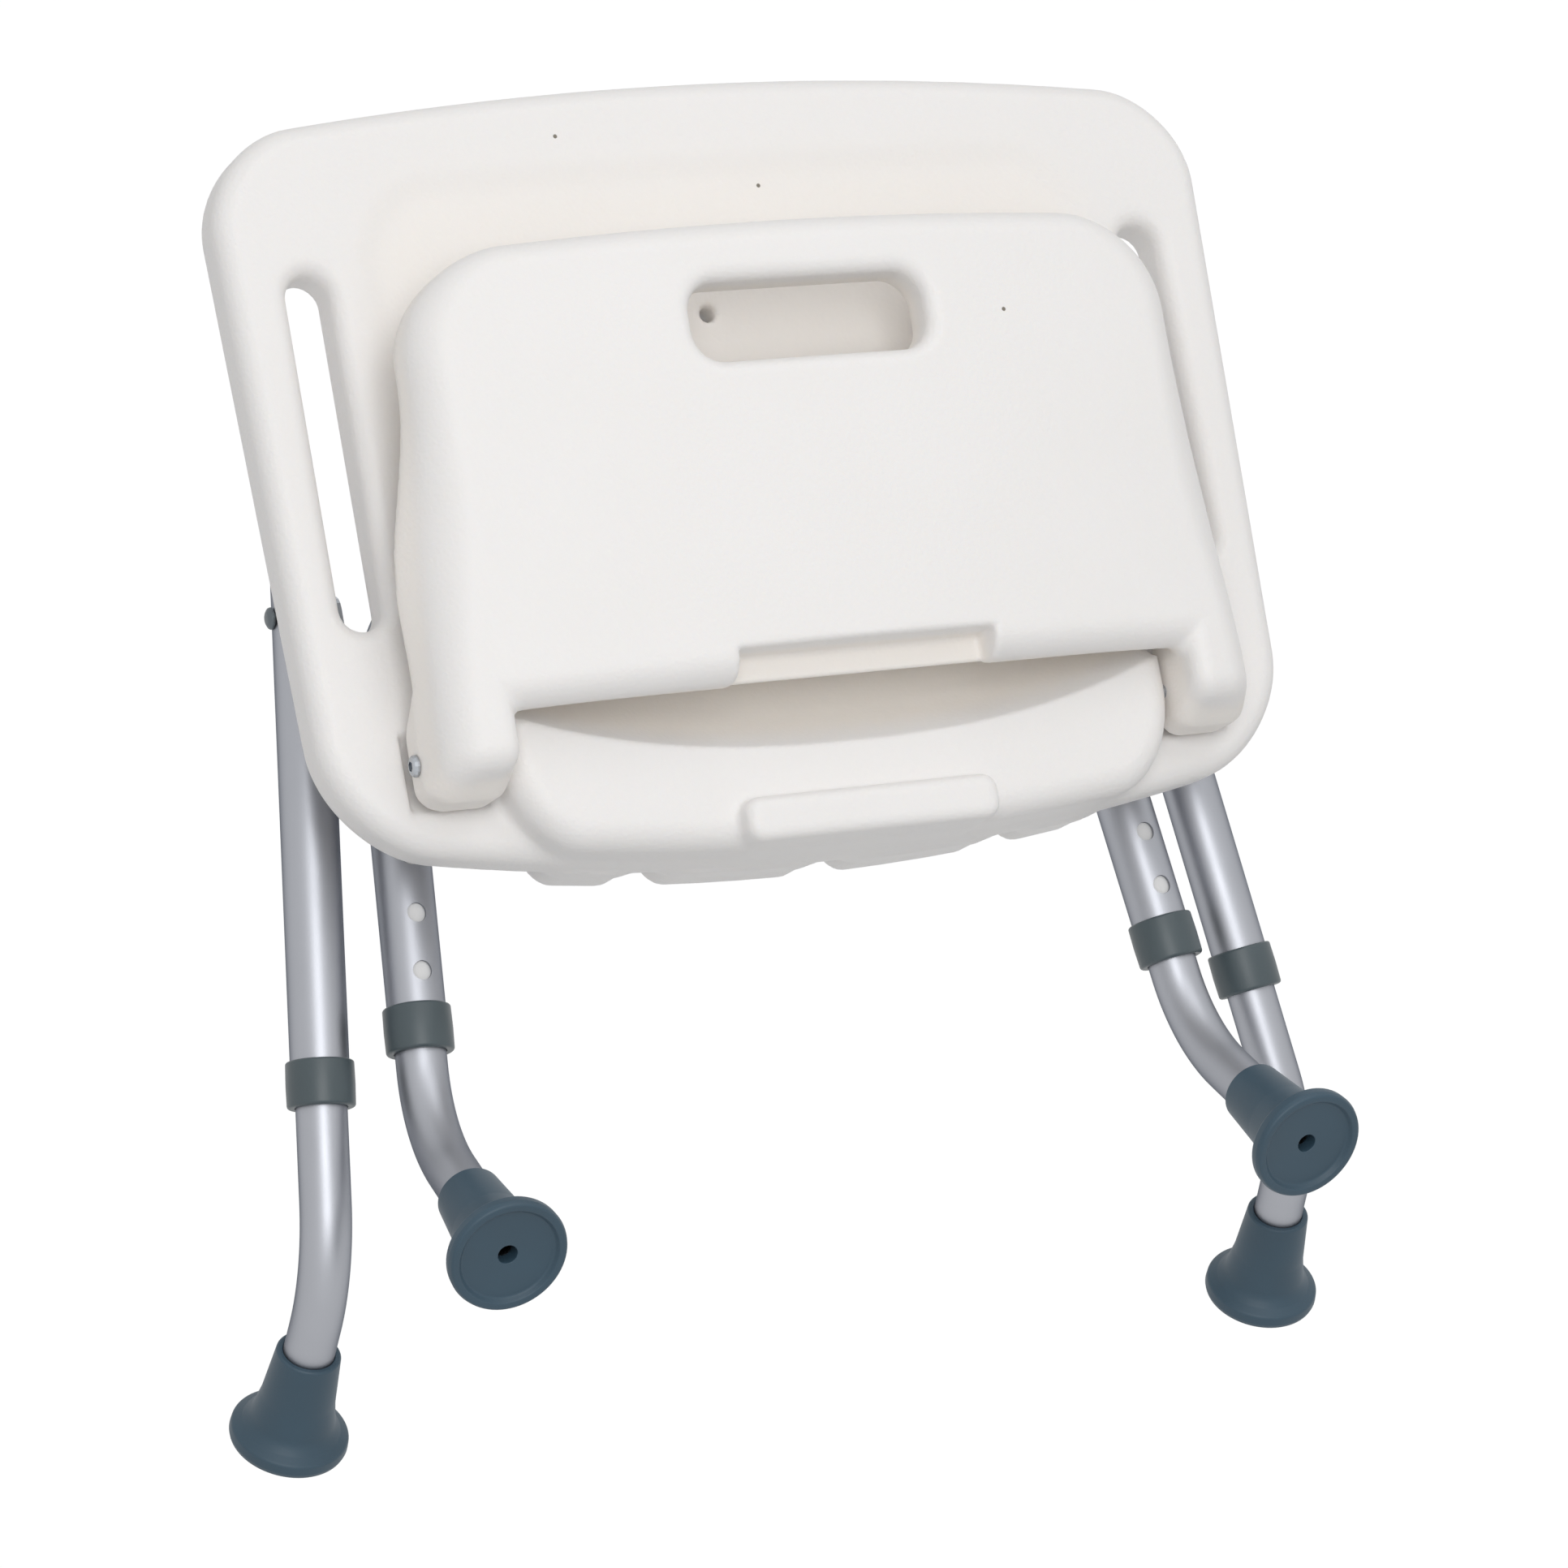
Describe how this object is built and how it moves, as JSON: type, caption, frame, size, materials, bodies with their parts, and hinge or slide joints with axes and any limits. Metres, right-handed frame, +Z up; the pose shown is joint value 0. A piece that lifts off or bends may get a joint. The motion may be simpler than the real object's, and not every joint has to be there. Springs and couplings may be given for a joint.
{
  "type": "folding shower chair",
  "caption": "Folding shower chair lying folded: blow-moulded seat with grip slots, fold-down backrest with hand slot, telescopic tubular legs with snap buttons and rubber feet.",
  "frame": {"origin": "bottom centre of the box round the folded chair", "axes": "+X to the right of a person who sits in it, +Y to the front edge of the seat, +Z up out of the seat's top face"},
  "size_m": [0.533, 0.571, 0.2344],
  "materials": {
    "blow_moulded_polyethylene": "fine leather grain, satin",
    "anodised_aluminium": "satin anodised",
    "grey_green_collar_plastic": "moulded, satin",
    "slate_rubber": "moulded, matt",
    "zinc_plated_steel": "bright zinc plate",
    "natural_nylon": "plain moulded",
    "grey_clamp_plastic": "plain moulded"
  },
  "bodies": {
    "seat": {"backrest_screw_left": "zinc_plated_steel", "backrest_screw_right": "zinc_plated_steel", "bracket_screw_left_front": "zinc_plated_steel", "bracket_screw_left_rear": "zinc_plated_steel", "bracket_screw_right_front": "zinc_plated_steel", "bracket_screw_right_rear": "zinc_plated_steel", "clamp_screw_left_front": "zinc_plated_steel", "clamp_screw_left_rear": "zinc_plated_steel", "clamp_screw_right_front": "zinc_plated_steel", "clamp_screw_right_rear": "zinc_plated_steel", "front_clamp_block_left": "grey_clamp_plastic", "front_clamp_block_right": "grey_clamp_plastic", "front_clamp_cap_left": "grey_clamp_plastic", "front_clamp_cap_right": "grey_clamp_plastic", "rear_bracket_left": "zinc_plated_steel", "rear_bracket_right": "zinc_plated_steel", "rear_pivot_rivet_left": "zinc_plated_steel", "rear_pivot_rivet_right": "zinc_plated_steel", "rear_pivot_washer_left": "natural_nylon", "rear_pivot_washer_right": "natural_nylon", "seat_shell": "blow_moulded_polyethylene"},
    "backrest": {"backrest_shell": "blow_moulded_polyethylene"},
    "front_frame": {"front_frame_tube": "anodised_aluminium", "front_left_collar": "grey_green_collar_plastic", "front_right_collar": "grey_green_collar_plastic"},
    "rear_leg_left": {"rear_upper_tube_left": "anodised_aluminium", "rear_tube_plug_left": "grey_green_collar_plastic", "rear_left_collar": "grey_green_collar_plastic"},
    "rear_leg_right": {"rear_upper_tube_right": "anodised_aluminium", "rear_tube_plug_right": "grey_green_collar_plastic", "rear_right_collar": "grey_green_collar_plastic"},
    "front_left_shin": {"front_left_lower_tube": "anodised_aluminium", "front_left_foot": "slate_rubber", "front_left_foot_washer": "zinc_plated_steel"},
    "front_left_button": {"front_left_snap_button": "zinc_plated_steel"},
    "rear_left_shin": {"rear_left_lower_tube": "anodised_aluminium", "rear_left_foot": "slate_rubber", "rear_left_foot_washer": "zinc_plated_steel"},
    "rear_left_button": {"rear_left_snap_button": "zinc_plated_steel"},
    "front_right_shin": {"front_right_lower_tube": "anodised_aluminium", "front_right_foot": "slate_rubber", "front_right_foot_washer": "zinc_plated_steel"},
    "front_right_button": {"front_right_snap_button": "zinc_plated_steel"},
    "rear_right_shin": {"rear_right_lower_tube": "anodised_aluminium", "rear_right_foot": "slate_rubber", "rear_right_foot_washer": "zinc_plated_steel"},
    "rear_right_button": {"rear_right_snap_button": "zinc_plated_steel"}
  },
  "joints": [
    {"name": "backrest_fold", "type": "hinge", "parent": "seat", "child": "backrest", "pos_m": [0, -0.01175, 0.18346], "axis": [1, 0, 0], "range_deg": [0, 92]},
    {"name": "front_frame_fold", "type": "hinge", "parent": "seat", "child": "front_frame", "pos_m": [0, 0.09725, 0.08986], "axis": [1, 0, 0], "range_deg": [0, 140.4]},
    {"name": "rear_leg_left_fold", "type": "hinge", "parent": "seat", "child": "rear_leg_left", "pos_m": [-0.2004, 0.07685, 0.09326], "axis": [1, 0, 0], "range_deg": [0, 40.7]},
    {"name": "rear_leg_right_fold", "type": "hinge", "parent": "seat", "child": "rear_leg_right", "pos_m": [0.2004, 0.07685, 0.09326], "axis": [1, 0, 0], "range_deg": [0, 40.7]},
    {"name": "front_left_extension", "type": "slide", "parent": "front_frame", "child": "front_left_shin", "axis": [-0.0937, -0.9944, 0.049], "range_m": [0, 0.0762], "deforming": ["front_left_snap_button"]},
    {"name": "front_left_button_press", "type": "slide", "parent": "front_left_shin", "child": "front_left_button", "axis": [-0.0046, -0.0488, -0.9988], "range_m": [0, 0.0038], "stiffness_N_per_m": 1500, "springref_m": -0.004, "deforming": ["front_left_snap_button"]},
    {"name": "rear_left_extension", "type": "slide", "parent": "rear_leg_left", "child": "rear_left_shin", "axis": [-0.1221, -0.9923, -0.0225], "range_m": [-0.0254, 0.0508], "deforming": ["rear_left_snap_button"]},
    {"name": "rear_left_button_press", "type": "slide", "parent": "rear_left_shin", "child": "rear_left_button", "axis": [-0.0027, -0.0223, 0.9997], "range_m": [0, 0.0038], "stiffness_N_per_m": 1500, "springref_m": -0.004, "deforming": ["rear_left_snap_button"]},
    {"name": "front_right_extension", "type": "slide", "parent": "front_frame", "child": "front_right_shin", "axis": [0.0937, -0.9944, 0.049], "range_m": [0, 0.0762], "deforming": ["front_right_snap_button"]},
    {"name": "front_right_button_press", "type": "slide", "parent": "front_right_shin", "child": "front_right_button", "axis": [0.0046, -0.0488, -0.9988], "range_m": [0, 0.0038], "stiffness_N_per_m": 1500, "springref_m": -0.004, "deforming": ["front_right_snap_button"]},
    {"name": "rear_right_extension", "type": "slide", "parent": "rear_leg_right", "child": "rear_right_shin", "axis": [0.1221, -0.9923, -0.0225], "range_m": [-0.0254, 0.0508], "deforming": ["rear_right_snap_button"]},
    {"name": "rear_right_button_press", "type": "slide", "parent": "rear_right_shin", "child": "rear_right_button", "axis": [0.0027, -0.0223, 0.9997], "range_m": [0, 0.0038], "stiffness_N_per_m": 1500, "springref_m": -0.004, "deforming": ["rear_right_snap_button"]}
  ]
}
